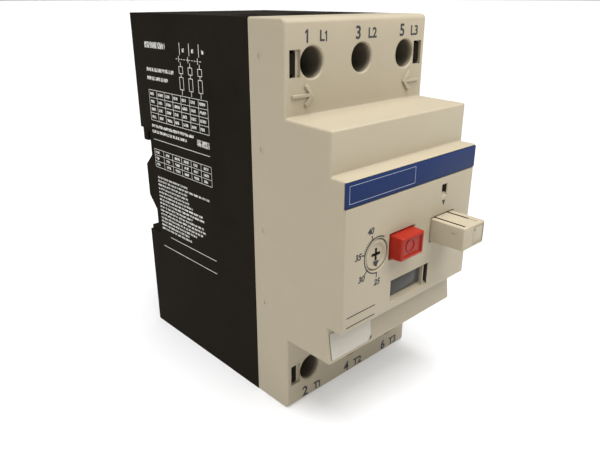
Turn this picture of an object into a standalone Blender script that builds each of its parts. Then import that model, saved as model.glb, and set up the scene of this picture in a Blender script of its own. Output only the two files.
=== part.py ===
"""Motor protection breaker, three poles, push-button operated, for a 35 mm rail.

Frame: X runs across the poles, +Z is up, the front faces -Y. The origin is the centre of the
bounding box's bottom. Shapes are written in millimetres as (x, depth, z), where depth runs
forwards from the rear plane, and are turned into metres when an object is made.
"""
import math

import bmesh
import bpy
from mathutils import Matrix, Vector

MM = 0.001

# Driving dimensions
POLES = 3
POLE_PITCH = 20.5
WIDTH = POLES * POLE_PITCH
HEIGHT = 122.0
BASE_DEPTH = 66.0
DECK_DEPTH = 81.0
BLOCK_DEPTH = 98.5
PANEL_DEPTH = 103.9
STOP_DEPTH = 108.0
DEPTH = 115.5
HALF = WIDTH / 2
REAR_Y = DEPTH / 2

# Steps of the front, as heights
LOWER_STEP = 26.2
PANEL_LOW = 38.2
PANEL_HIGH = 83.4
UPPER_STEP = 96.0
WINDOW_PLATE_LOW = 40.7
BLOCK_FOOT_DEPTH = 99.6
BLOCK_LIP_DEPTH = 98.1

# Walls and fits
WALL = 2.0
END_WALL = 2.5
GAP = 0.3
PARTITION = 1.6
INNER = HALF - WALL

# Rail channel
RAIL_SEAT = 4.6
CHANNEL_LOW = 42.5
CHANNEL_HIGH = 77.0
GROOVE_TOP = 80.5

# Places on the front panel
START_X = 14.9
START_Z = 59.45
STOP_X = -5.45
STOP_Z = 59.65
DIAL_X = -16.65
DIAL_Z = 59.1
TEST_X = 14.8
TEST_AXIS_Z = 77.5

# Terminals and copper strips
TERMINAL_Z = 110.3
ACCESS_RADIUS = 4.3
CAGE_HALF = 5.3
TONGUE_DEPTH = 56.0
STRIP = 1.5
STRIP_HALF = 3.8

# Places inside, as heights or depths
COIL_Z = 46.0
LATCH_PIN_DEPTH = 75.0
LATCH_PIN_Z = 70.0
FRAME_REST = (62, 67)
FRAME_PLATE = (84.0, 85.5)
SPRING_SEAT = FRAME_PLATE[1] + GAP
TRIP_BAR_DEPTH = (54.6, 57.6)
CARRIER_Z = 79.0
ROOF_Z = 96.0

# The last pole's overload strip and its finger stand in from the side wall
LAST_POLE_INSET = 2.2

FORWARDS = Vector((0, -1, 0))
UPWARDS = Vector((0, 0, 1))
POLE_X = [(pole - (POLES - 1) / 2) * POLE_PITCH for pole in range(POLES)]


# ---------------------------------------------------------------- materials

def material(name, colour, roughness, metallic=0.0):
    """A Principled material, made once and shared by every piece of that finish."""
    found = bpy.data.materials.get(name)
    if found:
        return found
    made = bpy.data.materials.new(name)
    made.use_nodes = True
    shader = made.node_tree.nodes["Principled BSDF"]
    shader.inputs["Base Color"].default_value = (*colour, 1.0)
    shader.inputs["Roughness"].default_value = roughness
    shader.inputs["Metallic"].default_value = metallic
    made.diffuse_color = (*colour, 1.0)
    return made


def black_plastic():
    return material("black_plastic", (0.02, 0.018, 0.016), 0.55)


def beige_plastic():
    return material("beige_plastic", (0.60, 0.55, 0.42), 0.5)


def red_plastic():
    return material("red_plastic", (0.55, 0.06, 0.04), 0.4)


def blue_plastic():
    return material("blue_plastic", (0.03, 0.06, 0.22), 0.4)


def white_plastic():
    return material("white_plastic", (0.66, 0.62, 0.54), 0.5)


def grey_plastic():
    return material("grey_plastic", (0.08, 0.08, 0.085), 0.6)


def steel():
    return material("steel", (0.55, 0.55, 0.56), 0.35, 1.0)


def copper():
    return material("copper", (0.72, 0.36, 0.20), 0.3, 1.0)


def brass():
    return material("brass", (0.70, 0.55, 0.25), 0.3, 1.0)


# ---------------------------------------------------------------- shapes, in millimetres

def at(x, depth, z):
    """A point from its x, its depth in front of the rear plane, and its height."""
    return Vector((x, REAR_Y - depth, z))


def prism(bottom, top):
    """A closed solid between two outlines with the same number of points."""
    shape = bmesh.new()
    low = [shape.verts.new(point) for point in bottom]
    high = [shape.verts.new(point) for point in top]
    shape.faces.new(low)
    shape.faces.new(high)
    count = len(low)
    for i in range(count):
        after = (i + 1) % count
        shape.faces.new((low[i], low[after], high[after], high[i]))
    bmesh.ops.recalc_face_normals(shape, faces=shape.faces)
    return shape


def prism_x(outline, x_low, x_high):
    """An outline of (depth, z) points, extruded across the poles."""
    return prism([at(x_low, d, z) for d, z in outline], [at(x_high, d, z) for d, z in outline])


def prism_depth(outline, d_low, d_high):
    """An outline of (x, z) points, extruded forwards."""
    return prism([at(x, d_low, z) for x, z in outline], [at(x, d_high, z) for x, z in outline])


def box(x_range, d_range, z_range):
    """A box from its ranges of x, depth and height."""
    (d_low, d_high), (z_low, z_high) = d_range, z_range
    outline = [(d_low, z_low), (d_high, z_low), (d_high, z_high), (d_low, z_high)]
    return prism_x(outline, *x_range)


def circle(radius, segments):
    """Points of a circle about the origin of a plane."""
    turn = 2 * math.pi / segments
    return [(radius * math.cos(i * turn), radius * math.sin(i * turn)) for i in range(segments)]


def rod(x, z, radius, d_low, d_high, segments=24):
    """A round rod that runs from front to back."""
    outline = [(x + u, z + v) for u, v in circle(radius, segments)]
    return prism_depth(outline, d_low, d_high)


def cross_rod(depth, z, radius, x_low, x_high, segments=16):
    """A round rod that runs across the poles."""
    outline = [(depth + u, z + v) for u, v in circle(radius, segments)]
    return prism_x(outline, x_low, x_high)


def turned(x, z, profile, segments=24):
    """A body turned about a front-to-back axis from (radius, depth) points, rear end first."""
    shape = bmesh.new()
    rings = []
    for radius, depth in profile:
        rings.append([shape.verts.new(at(x + u, depth, z + v)) for u, v in circle(radius, segments)])
    for rear, front in zip(rings, rings[1:]):
        for i in range(segments):
            after = (i + 1) % segments
            shape.faces.new((rear[i], rear[after], front[after], front[i]))
    shape.faces.new(rings[0])
    shape.faces.new(rings[-1])
    bmesh.ops.recalc_face_normals(shape, faces=shape.faces)
    return shape


def turned_ring(x, z, profile, segments=20):
    """A ring turned about a front-to-back axis from a closed loop of (radius, depth) points."""
    shape = bmesh.new()
    loops = []
    for i in range(segments):
        angle = 2 * math.pi * i / segments
        u, v = math.cos(angle), math.sin(angle)
        loops.append([shape.verts.new(at(x + r * u, d, z + r * v)) for r, d in profile])
    count = len(profile)
    for i in range(segments):
        one, other = loops[i], loops[(i + 1) % segments]
        for j in range(count):
            after = (j + 1) % count
            shape.faces.new((one[j], one[after], other[after], other[j]))
    bmesh.ops.recalc_face_normals(shape, faces=shape.faces)
    return shape


def spring(start, axis, length, radius, wire, turns, per_turn=10, sides=5):
    """A closed helical wire along a unit axis, its ends flat and capped."""
    side = axis.orthogonal().normalized()
    other = axis.cross(side)
    steps = turns * per_turn
    rise = (length - 2 * wire) / steps
    shape = bmesh.new()
    rings = []
    for i in range(steps + 1):
        angle = 2 * math.pi * i / per_turn
        outward = side * math.cos(angle) + other * math.sin(angle)
        centre = start + axis * (wire + rise * i) + outward * radius
        ring = []
        for u, v in circle(wire, sides):
            ring.append(shape.verts.new(centre + outward * u + axis * v))
        rings.append(ring)
    for one, two in zip(rings, rings[1:]):
        for j in range(sides):
            after = (j + 1) % sides
            shape.faces.new((one[j], one[after], two[after], two[j]))
    shape.faces.new(rings[0])
    shape.faces.new(rings[-1])
    bmesh.ops.recalc_face_normals(shape, faces=shape.faces)
    return shape


def together(shapes):
    """Several closed shapes in one mesh, for one cut or one union."""
    whole = bmesh.new()
    for shape in shapes:
        part = bpy.data.meshes.new("part")
        shape.to_mesh(part)
        shape.free()
        whole.from_mesh(part)
        bpy.data.meshes.remove(part)
    return whole


# ---------------------------------------------------------------- objects

def make(name, shape, finish, origin=(0.0, REAR_Y, 0.0)):
    """One named object in metres, its origin at a point given as (x, depth, z)."""
    centre = at(*origin)
    shape.transform(Matrix.Translation(-centre))
    shape.transform(Matrix.Scale(MM, 4))
    mesh = bpy.data.meshes.new(name)
    shape.to_mesh(mesh)
    shape.free()
    mesh.materials.append(finish)
    made = bpy.data.objects.new(name, mesh)
    made.location = centre * MM
    bpy.context.scene.collection.objects.link(made)
    return made


def tool(owner, shape, operation):
    """Adds a Boolean to an object, with a hidden shape as its tool."""
    count = len(owner.modifiers)
    hidden = make(f"{owner.name}_tool_{count}", shape, owner.data.materials[0])
    hidden.hide_render = True
    hidden.display_type = "WIRE"
    step = owner.modifiers.new(f"{operation.lower()}_{count}", "BOOLEAN")
    step.operation = operation
    step.solver = "EXACT"
    step.object = hidden


def cut(owner, *shapes):
    tool(owner, together(shapes), "DIFFERENCE")


def add(owner, *shapes):
    tool(owner, together(shapes), "UNION")


def soften(owner, width, segments=2):
    """Rounds an object's sharp edges, before any cut."""
    step = owner.modifiers.new("soften", "BEVEL")
    step.width = width * MM
    step.segments = segments
    step.limit_method = "ANGLE"
    step.angle_limit = math.radians(40)


def round_off(owner, angle=35):
    """Shades a round piece smooth, keeping its sharp edges."""
    owner.data.shade_smooth()
    owner.data.set_sharp_from_angle(angle=math.radians(angle))


# ---------------------------------------------------------------- black base

def base_outline():
    """The base from the side: a flat back with the rail channel and its middle hump."""
    front = BASE_DEPTH - GAP / 2
    return [
        (0, 0), (front, 0), (front, HEIGHT), (0, HEIGHT),
        (0, CHANNEL_HIGH), (3.0, CHANNEL_HIGH), (3.0, GROOVE_TOP), (4.5, GROOVE_TOP),
        (4.5, CHANNEL_HIGH), (RAIL_SEAT, CHANNEL_HIGH), (RAIL_SEAT, 71.7), (0, 67.4),
        (0, 55.1), (RAIL_SEAT, 50.0), (RAIL_SEAT, CHANNEL_LOW), (0, CHANNEL_LOW),
    ]


def chamber_outline():
    """One pole's hollow from the side, deeper behind the upper terminal."""
    front = BASE_DEPTH + 1
    return [
        (12, END_WALL), (front, END_WALL), (front, HEIGHT - END_WALL),
        (3, HEIGHT - END_WALL), (3, 84), (12, 84),
    ]


def sideways(side, low, high):
    """A range of x on one side of the middle, the lower value first."""
    return sorted((side * low, side * high))


def hook(side, z):
    """A snap hook that runs forwards along the cover's side wall."""
    return box(sideways(side, INNER - 2.3, INNER - GAP), (55, 80.4), (z - 3.35, z + 3.35))


def hook_root(side, z):
    """The rib that joins a snap hook to the base's side wall."""
    return box(sideways(side, INNER - 2.5, INNER + 0.5), (40, 60), (z - 3.35, z + 3.35))


def latch_channel():
    """The pocket in the lower rear for the rail latch, with lips that hold it."""
    pocket = box((-8.3, 8.3), (1.0, 4.3), (-1, CHANNEL_LOW + 1))
    mouth = box((-6.3, 6.3), (-1, 1.2), (-1, CHANNEL_LOW + 1))
    return pocket, mouth


def rear_base():
    base = make("rear_base", prism_x(base_outline(), -HALF, HALF), black_plastic())
    half_wall = PARTITION / 2
    limits = [-INNER, POLE_X[0] + POLE_PITCH / 2, POLE_X[1] + POLE_PITCH / 2, INNER]
    chambers = []
    for pole in range(POLES):
        low = limits[pole] + (half_wall if pole else 0)
        high = limits[pole + 1] - (half_wall if pole < POLES - 1 else 0)
        chambers.append(prism_x(chamber_outline(), low, high))
    cut(base, *chambers)
    mechanism_room = box((-INNER, INNER), (53.5, BASE_DEPTH + 1), (24.5, ROOF_Z))
    carrier_passage = box((-26, 26), (34, 56), (CARRIER_Z - 4.5, CARRIER_Z + 5.5))
    cut(base, mechanism_room)
    cut(base, carrier_passage)
    entries = []
    for x in POLE_X:
        across, depths = (x - 4.5, x + 4.5), (50, TONGUE_DEPTH + GAP)
        entries.append(box(across, depths, (HEIGHT - 4, HEIGHT + 1)))
        entries.append(box(across, depths, (-1, 4)))
    cut(base, *entries)
    cut(base, *[box(sideways(side, HALF - 1, HALF + 1), (-1, 7.5), (41, 82)) for side in (-1, 1)])
    pocket, mouth = latch_channel()
    cut(base, pocket)
    cut(base, mouth)
    rests = [box(sideways(side, 26.5, INNER + 0.5), (11, 66.1), FRAME_REST) for side in (-1, 1)]
    spring_post = box((5.1, 9.1), (11, 26), (CARRIER_Z - 2, CARRIER_Z + 2))
    latch_stop = box((-2, 2), (1.8, 5), (13.5, 15.5))
    add(base, *rests, spring_post, latch_stop)
    roots, hooks = [], []
    for side in (-1, 1):
        for z in (TERMINAL_Z, HEIGHT - TERMINAL_Z):
            roots.append(hook_root(side, z))
            hooks.append(hook(side, z))
    add(base, *roots)
    add(base, *hooks)
    return base


# ---------------------------------------------------------------- beige cover

def cover_outline():
    """The cover from the side: terminal decks, the upper block and the front panel."""
    rear = BASE_DEPTH + GAP / 2
    return [
        (rear, 0), (DECK_DEPTH, 0), (DECK_DEPTH, LOWER_STEP), (BLOCK_FOOT_DEPTH, LOWER_STEP),
        (BLOCK_LIP_DEPTH, PANEL_LOW), (PANEL_DEPTH, PANEL_LOW), (PANEL_DEPTH, PANEL_HIGH),
        (BLOCK_DEPTH, PANEL_HIGH), (BLOCK_DEPTH, UPPER_STEP - 0.4), (DECK_DEPTH, UPPER_STEP),
        (DECK_DEPTH, HEIGHT), (rear, HEIGHT),
    ]


def cover_hollow():
    """The inside of the cover, one wall in from its outline and open to the rear."""
    rear = BASE_DEPTH - 1
    return [
        (rear, WALL), (DECK_DEPTH - WALL, WALL), (DECK_DEPTH - WALL, LOWER_STEP + WALL),
        (BLOCK_FOOT_DEPTH - 2.3, LOWER_STEP + WALL), (BLOCK_LIP_DEPTH - WALL, PANEL_LOW),
        (BLOCK_LIP_DEPTH - WALL, PANEL_LOW + WALL), (PANEL_DEPTH - WALL, PANEL_LOW + WALL),
        (PANEL_DEPTH - WALL, PANEL_HIGH - WALL), (BLOCK_DEPTH - WALL, PANEL_HIGH - WALL),
        (BLOCK_DEPTH - WALL, UPPER_STEP - WALL - 0.4), (DECK_DEPTH - WALL, UPPER_STEP - WALL),
        (DECK_DEPTH - WALL, HEIGHT - WALL), (rear, HEIGHT - WALL),
    ]


def panel_openings():
    """Openings of the front panel for buttons, dial, test slot and window."""
    through = (PANEL_DEPTH - WALL - 1, PANEL_DEPTH + 1)
    start = box((8.75, 21.05), through, (55.4, 63.5))
    stop = box((-11.3, 0.45), through, (55.6, 63.7))
    dial = rod(DIAL_X, DIAL_Z, 4.9, *through)
    test = box((TEST_X - 1.25, TEST_X + 1.25), through, (69.6, 73.2))
    window = box((-9.35, 9.35), through, (40.85, 48.2))
    return start, stop, dial, test, window


def latch_windows():
    """Openings of the terminal decks through which the snap hooks show."""
    windows, steps = [], []
    for side in (-1, 1):
        for z in (TERMINAL_Z, HEIGHT - TERMINAL_Z):
            z_range = (z - 3.65, z + 3.65)
            through = sideways(side, HALF - 1.75, HALF - 4.6)
            shallow = sideways(side, HALF - 4.0, HALF - 5.8)
            windows.append(box(through, (78, DECK_DEPTH + 1), z_range))
            steps.append(box(shallow, (DECK_DEPTH - 0.8, DECK_DEPTH + 1), z_range))
    return windows, steps


def tag_outline(sink, proud):
    """The marker tag's side outline on the slanted foot of the upper block."""
    slope = (BLOCK_LIP_DEPTH - BLOCK_FOOT_DEPTH) / (PANEL_LOW - LOWER_STEP)
    low, high = 27.5, 36.2
    at_low = BLOCK_FOOT_DEPTH + slope * (low - LOWER_STEP)
    at_high = BLOCK_FOOT_DEPTH + slope * (high - LOWER_STEP)
    return [(at_low - sink, low), (at_low + proud, low), (at_high + proud, high), (at_high - sink, high)]


def front_cover():
    cover = make("front_cover", prism_x(cover_outline(), -HALF, HALF), beige_plastic())
    soften(cover, 0.8)
    cut(cover, prism_x(cover_hollow(), -INNER, INNER))
    terminals = [(x, z) for x in POLE_X for z in (TERMINAL_Z, HEIGHT - TERMINAL_Z)]
    add(cover, *[rod(x, z, 5.4, 71, DECK_DEPTH - 1) for x, z in terminals])
    cut(cover, *[rod(x, z, ACCESS_RADIUS, 70, DECK_DEPTH + 1) for x, z in terminals])
    cut(cover, *panel_openings())
    windows, steps = latch_windows()
    cut(cover, *windows)
    cut(cover, *steps)
    band_bed = box((-HALF - 1, HALF + 1), (PANEL_DEPTH - 0.5, PANEL_DEPTH + 1), (75.7, 83.1))
    tag_bed = prism_x(tag_outline(0.6, 2), -29.9, -11.7)
    cut(cover, band_bed, tag_bed)
    rear = PANEL_DEPTH - WALL
    sill = [(rear, 40.0), (PANEL_DEPTH - 0.2, 40.0), (PANEL_DEPTH - 0.2, 40.9), (rear, 41.9)]
    rib = box((6.95, 7.45), (rear, PANEL_DEPTH - 0.4), (40.5, 49.0))
    add(cover, prism_x(sill, -9.9, 9.9))
    add(cover, rib)
    return cover


# ---------------------------------------------------------------- front panel pieces

def label_band():
    band = box((-30.6, 30.6), (PANEL_DEPTH - 0.25, PANEL_DEPTH + 0.05), (75.95, 82.85))
    return make("label_band", band, blue_plastic())


def marker_tag():
    return make("marker_tag", prism_x(tag_outline(0.3, 0.3), -29.65, -11.95), white_plastic())


def window_plate():
    front = PANEL_DEPTH - WALL - GAP
    plate = box((-10.5, 10.5), (front - 1.5, front), (WINDOW_PLATE_LOW, 50.5))
    return make("window_plate", plate, grey_plastic())


def start_button():
    """The start button: a hollow push cap with a retaining flange and a long push rod."""
    cap = box((9.05, 20.75), (100.2, DEPTH), (55.7, 63.2))
    button = make("start_button", cap, beige_plastic(), (START_X, DEPTH, START_Z))
    soften(button, 0.5)
    flange = box((7.8, 22.0), (99.9, PANEL_DEPTH - WALL - GAP), (54.2, 64.7))
    add(button, flange)
    cut(button, box((14.2, 20.2), (101.2, DEPTH + 1), (56.6, 62.4)))
    left_slot = box((10.9, 11.4), (102.5, 114.5), (62.2, 64.0))
    right_slot = box((17.7, 18.2), (102.5, 111.3), (62.2, 64.0))
    cut(button, left_slot, right_slot)
    add(button, rod(START_X, START_Z, 2.5, 68.6, 100.6))
    return button


def start_lock_tab():
    """The padlock tab that pulls out of the start button's front."""
    tab = make("start_lock_tab", box((14.5, 19.9), (101.5, DEPTH - 0.2), (56.9, 62.1)),
               beige_plastic(), (17.2, DEPTH, START_Z))
    cut(tab, cross_rod(109.5, 59.5, 1.7, 13, 21))
    return tab


def stop_button():
    """The stop button: a slightly tapered cap with a framed front, a flange and a push rod."""
    rear = [(-11.05, 55.9), (0.15, 55.9), (0.15, 63.4), (-11.05, 63.4)]
    front = [(-10.95, 56.0), (-0.35, 56.0), (-0.35, 63.2), (-10.95, 63.2)]
    cap = prism([at(x, 99.3, z) for x, z in rear], [at(x, STOP_DEPTH, z) for x, z in front])
    button = make("stop_button", cap, red_plastic(), (STOP_X, STOP_DEPTH, STOP_Z))
    soften(button, 0.7)
    cut(button, box((-9.9, -1.4), (STOP_DEPTH - 0.5, STOP_DEPTH + 1), (57.0, 62.2)))
    add(button, box((-11.05, 0.15), (99.0, PANEL_DEPTH - WALL - GAP), (54.6, 64.8)))
    add(button, rod(STOP_X, STOP_Z, 2.0, 82.0, 99.8))
    return button


def current_dial():
    """The setting dial: a slotted disc, a collar, a shaft and an off-centre cam."""
    profile = [(2.2, 80.5), (2.2, 100.0), (5.2, 100.0), (5.2, 101.6), (4.6, 101.6),
               (4.6, PANEL_DEPTH - 0.2)]
    disc = turned(DIAL_X, DIAL_Z, profile, 32)
    dial = make("current_dial", disc, beige_plastic(), (DIAL_X, PANEL_DEPTH, DIAL_Z))
    round_off(dial)
    add(dial, rod(DIAL_X + 1.0, DIAL_Z, 3.9, 78.5, 81.5))
    long_slot = box((DIAL_X - 2.3, DIAL_X + 2.3), (PANEL_DEPTH - 1.4, PANEL_DEPTH + 1),
                    (DIAL_Z - 0.45, DIAL_Z + 0.45))
    cross_slot = box((DIAL_X - 0.45, DIAL_X + 0.45), (PANEL_DEPTH - 1.4, PANEL_DEPTH + 1),
                     (DIAL_Z - 2.3, DIAL_Z + 2.3))
    cut(dial, long_slot)
    cut(dial, cross_slot)
    return dial


# ---------------------------------------------------------------- mechanism

def mechanism_frame():
    """The steel frame behind the panel, with two ears for the latch pin."""
    frame = make("mechanism_frame", box((-28.2, 28.2), FRAME_PLATE, (52, 81)), steel())
    legs = [box(sideways(side, 26.7, 28.2), (66.4, 84.5), FRAME_REST) for side in (-1, 1)]
    ears = [box((low, low + 1.2), (70.5, 84.5), (66, 74)) for low in (-12.2, -1.0)]
    add(frame, *legs, *ears)
    through = (FRAME_PLATE[0] - 1, FRAME_PLATE[1] + 1.5)
    holes = [
        rod(START_X, START_Z, 2.9, *through, 20),
        rod(STOP_X, STOP_Z, 2.4, *through, 20),
        rod(DIAL_X, DIAL_Z, 2.6, *through, 20),
        rod(TEST_X, TEST_AXIS_Z, 1.9, *through, 16),
        cross_rod(LATCH_PIN_DEPTH, LATCH_PIN_Z, 1.55, -13, 1),
    ]
    cut(frame, *holes)
    return frame


def latch_pin():
    pin = cross_rod(LATCH_PIN_DEPTH, LATCH_PIN_Z, 1.25, -12.4, 0.4)
    return make("latch_pin", pin, steel(), (STOP_X, LATCH_PIN_DEPTH, LATCH_PIN_Z))


def latch_lever():
    """The lever that the stop rod tips to let the contacts open."""
    outline = [(72.4, 69.0), (74.0, 66.8), (78.0, 66.8), (78.8, 57.5), (80.9, 57.5), (80.9, 68.5),
               (77.8, 72.5), (76.6, 79.5), (73.6, 79.5), (73.0, 72.5)]
    lever = make("latch_lever", prism_x(outline, -9.5, -2.5), steel(),
                 (STOP_X, LATCH_PIN_DEPTH, LATCH_PIN_Z))
    cut(lever, cross_rod(LATCH_PIN_DEPTH, LATCH_PIN_Z, 1.55, -11, -1))
    return lever


def trip_bar():
    """The sliding bar that a bent bimetal pushes, with a finger for each pole."""
    bar = make("trip_bar", box((-26.5, 24.8), TRIP_BAR_DEPTH, (58.0, 61.0)), grey_plastic())
    fingers = [box((x + 5.0, x + 6.2), TRIP_BAR_DEPTH, (52.0, 58.5)) for x in POLE_X]
    fingers[-1].transform(Matrix.Translation((-LAST_POLE_INSET, 0, 0)))
    nose = box((TEST_X + 1.8, TEST_X + 3.4), TRIP_BAR_DEPTH, (60.5, 64.0))
    add(bar, nose, *fingers)
    return bar


def test_lever():
    """The test shaft, with one arm behind the test slot and one beside the trip bar's nose."""
    shaft = rod(TEST_X, TEST_AXIS_Z, 1.5, 54.9, 100.2, 16)
    lever = make("test_lever", shaft, grey_plastic(), (TEST_X, PANEL_DEPTH, TEST_AXIS_Z))
    rear_arm = box((TEST_X - 0.8, TEST_X + 0.8), (54.9, 57.3), (61.4, TEST_AXIS_Z))
    front_arm = box((TEST_X - 1.1, TEST_X + 1.1), (98.6, 100.6), (69.9, TEST_AXIS_Z))
    add(lever, rear_arm, front_arm)
    return lever


def start_spring():
    wire = spring(at(START_X, SPRING_SEAT, START_Z), FORWARDS, 13.8, 3.5, 0.35, 5)
    return make("start_spring", wire, steel())


def stop_spring():
    wire = spring(at(STOP_X, SPRING_SEAT, STOP_Z), FORWARDS, 12.9, 2.9, 0.3, 5)
    return make("stop_spring", wire, steel())


# ---------------------------------------------------------------- contacts

def contact_carrier():
    """The bar that carries the three bridges, with an arm to the start button's rod."""
    bar = box((-25.4, 25.4), (46.0, 52.0), (CARRIER_Z - 3, CARRIER_Z + 3))
    carrier = make("contact_carrier", bar, grey_plastic())
    yoke_z, slot_z = (CARRIER_Z - 2.5, CARRIER_Z + 2.5), (CARRIER_Z - 4, CARRIER_Z + 4)
    add(carrier, *[box((x - 4.6, x + 4.6), (36.0, 46.8), yoke_z) for x in POLE_X])
    cut(carrier, *[box((x - 3.4, x + 3.4), (38.0, 45.2), slot_z) for x in POLE_X])
    arm = [(51, 78), (65, 78), (65, 56.5), (68, 56.5), (68, 81.5), (51, 81.5)]
    add(carrier, prism_x(arm, 8.4, 11.6))
    add(carrier, box((10.5, 18.2), (65.0, 68.0), (56.5, 63.0)))
    return carrier


def carrier_spring():
    wire = spring(at(7.1, 26.3, CARRIER_Z), FORWARDS, 19.4, 1.6, 0.3, 6)
    return make("carrier_spring", wire, steel())


def contact_bridge(pole, x):
    """A moving contact: a copper bridge with a raised tip at each end."""
    outline = [(40.8, 68.0), (39.3, 68.5), (39.3, 72.5), (40.8, 73.0), (40.8, 85.0), (39.3, 85.5),
               (39.3, 89.5), (40.8, 90.0), (42.3, 90.0), (42.3, 68.0)]
    return make(f"contact_bridge_{pole}", prism_x(outline, x - 3.0, x + 3.0), copper())


def line_conductor(pole, x):
    """The copper strip from the upper terminal back and down to the upper fixed contact."""
    front = TONGUE_DEPTH + STRIP
    outline = [
        (TONGUE_DEPTH, 117.0), (front, 117.0), (front, 97.0), (31.5, 97.0), (31.5, 89.5),
        (33.0, 89.5), (33.0, 85.5), (31.5, 85.5), (31.5, 85.0), (30.0, 85.0), (30.0, 98.5),
        (TONGUE_DEPTH, 98.5),
    ]
    return make(f"line_conductor_{pole}", prism_x(outline, x - STRIP_HALF, x + STRIP_HALF), copper())


def contact_conductor(pole, x):
    """The copper strip from the lower fixed contact down to the coil."""
    outline = [
        (30.0, 73.0), (31.5, 73.0), (31.5, 72.5), (33.0, 72.5), (33.0, 68.5), (31.5, 68.5),
        (31.5, 57.0), (38.0, 57.0), (38.0, 55.5), (30.0, 55.5),
    ]
    return make(f"contact_conductor_{pole}", prism_x(outline, x - STRIP_HALF, x + STRIP_HALF), copper())


def arc_chute(pole, x):
    """A stack of arc splitter plates that hang from one spine."""
    plates, pitch, thick = 7, 3.0, 1.0
    first, spine_low, spine_high, foot = 34.0, 95.2, 96.4, 90.8
    last = first + (plates - 1) * pitch
    outline = [(first, spine_high), (first, foot), (first + thick, foot), (first + thick, spine_low)]
    for plate in range(1, plates - 1):
        rear = first + plate * pitch
        outline += [(rear, spine_low), (rear, foot), (rear + thick, foot), (rear + thick, spine_low)]
    outline += [(last, spine_low), (last, foot), (last + thick, foot), (last + thick, spine_high)]
    return make(f"arc_chute_{pole}", prism_x(outline, x - 7.0, x + 7.0), steel())


# ---------------------------------------------------------------- trips

def magnet_coil(pole, x):
    """The short-circuit coil: thick copper turns side by side, as a ridged ring."""
    turns, first, pitch, inner, outer = 5, 31.2, 3.5, 4.4, 6.4
    profile = [(inner, first)]
    for turn in range(turns):
        rear = first + turn * pitch
        profile += [(outer - 0.9, rear), (outer, rear + 0.9), (outer, rear + pitch - 0.9)]
    profile += [(outer - 0.9, first + turns * pitch), (inner, first + turns * pitch)]
    coil = make(f"magnet_coil_{pole}", turned_ring(x, COIL_Z, profile), copper())
    round_off(coil, 50)
    return coil


def magnet_yoke(pole, x):
    """The steel yoke around the coil, with a hole for the plunger's pin."""
    outline = [(28.4, 39), (29.9, 39), (29.9, 53.0), (50.0, 53.0), (50.0, 39), (51.5, 39),
               (51.5, 54.4), (28.4, 54.4)]
    yoke = make(f"magnet_yoke_{pole}", prism_x(outline, x - 5.0, x + 5.0), steel())
    cut(yoke, rod(x, COIL_Z, 1.5, 49, 53, 16))
    return yoke


def magnet_plunger(pole, x):
    """The iron core in the coil, with the pin that strikes the trip."""
    profile = [(3.2, 32.4), (3.7, 33.0), (3.7, 45.2), (1.1, 45.2), (1.1, 57.0), (0.8, 57.5)]
    plunger = make(f"magnet_plunger_{pole}", turned(x, COIL_Z, profile, 16), steel(),
                   (x, 45, COIL_Z))
    round_off(plunger)
    return plunger


def bimetal(pole, x):
    """The overload strip, standing on its foot, with its free end beside the trip bar's finger."""
    outline = [(x - 3, 20.5), (x + 4.5, 20.5), (x + 4.5, 57.4), (x + 3.5, 57.4), (x + 3.5, 22.0),
               (x - 3, 22.0)]
    if pole == POLES:
        outline = [(u - LAST_POLE_INSET, z) for u, z in outline]
    return make(f"bimetal_{pole}", prism_depth(outline, 56.3, 61.0), brass())


def load_conductor(pole, x):
    """The copper strip from the lower terminal up to the bimetal's foot."""
    front = TONGUE_DEPTH + STRIP
    outline = [(TONGUE_DEPTH, 5.0), (front, 5.0), (front, 18.7), (61.5, 18.7), (61.5, 20.2),
               (TONGUE_DEPTH, 20.2)]
    return make(f"load_conductor_{pole}", prism_x(outline, x - STRIP_HALF, x + STRIP_HALF), copper())


# ---------------------------------------------------------------- terminals

def terminal_cage(number, x, z):
    """A steel cage that the screw draws forwards, pressing a wire against the tongue's back."""
    cage = make(f"terminal_cage_{number}",
                box((x - CAGE_HALF, x + CAGE_HALF), (49.0, 63.0), (z - 5, z + 5)), steel(), (x, 56, z))
    cut(cage, box((x - 4.1, x + 4.1), (50.5, 61.0), (z - 6, z + 6)))
    cut(cage, rod(x, z, 2.8, 60, 64, 16))
    return cage


def terminal_screw(number, x, z):
    """A terminal screw with a cross slot, reached through the cover's access hole."""
    profile = [(2.0, 58.2), (2.45, 58.8), (2.45, 69.0), (3.8, 69.0), (3.8, 72.4), (3.3, 73.0)]
    screw = make(f"terminal_screw_{number}", turned(x, z, profile, 20), steel(), (x, 70, z))
    round_off(screw)
    cut(screw, box((x - 5, x + 5), (71.8, 74), (z - 0.5, z + 0.5)))
    cut(screw, box((x - 0.5, x + 0.5), (71.8, 74), (z - 2.2, z + 2.2)))
    return screw


# ---------------------------------------------------------------- rail latch

def rail_latch():
    """The sliding foot that grips behind the rail's lower edge."""
    plate = box((-8.0, 8.0), (1.3, 4.0), (5.0, 42.0))
    latch = make("rail_latch", plate, grey_plastic(), (0, 2.6, CHANNEL_LOW))
    lip = [(1.3, 41.0), (3.4, 41.0), (3.4, 44.6), (2.5, 45.4), (1.3, 45.4)]
    pull = box((-6.0, 6.0), (0.2, 1.8), (5.0, 40.0))
    add(latch, prism_x(lip, -8.0, 8.0))
    add(latch, pull)
    cut(latch, box((-2.6, 2.6), (-1, 5), (12.0, 30.0)))
    cut(latch, box((-2.0, 2.0), (-1, 5), (6.5, 9.5)))
    return latch


def rail_latch_spring():
    wire = spring(at(0, 2.8, 15.8), UPWARDS, 13.9, 0.85, 0.22, 8, 8)
    return make("rail_latch_spring", wire, steel())


# ---------------------------------------------------------------- assembly

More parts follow.
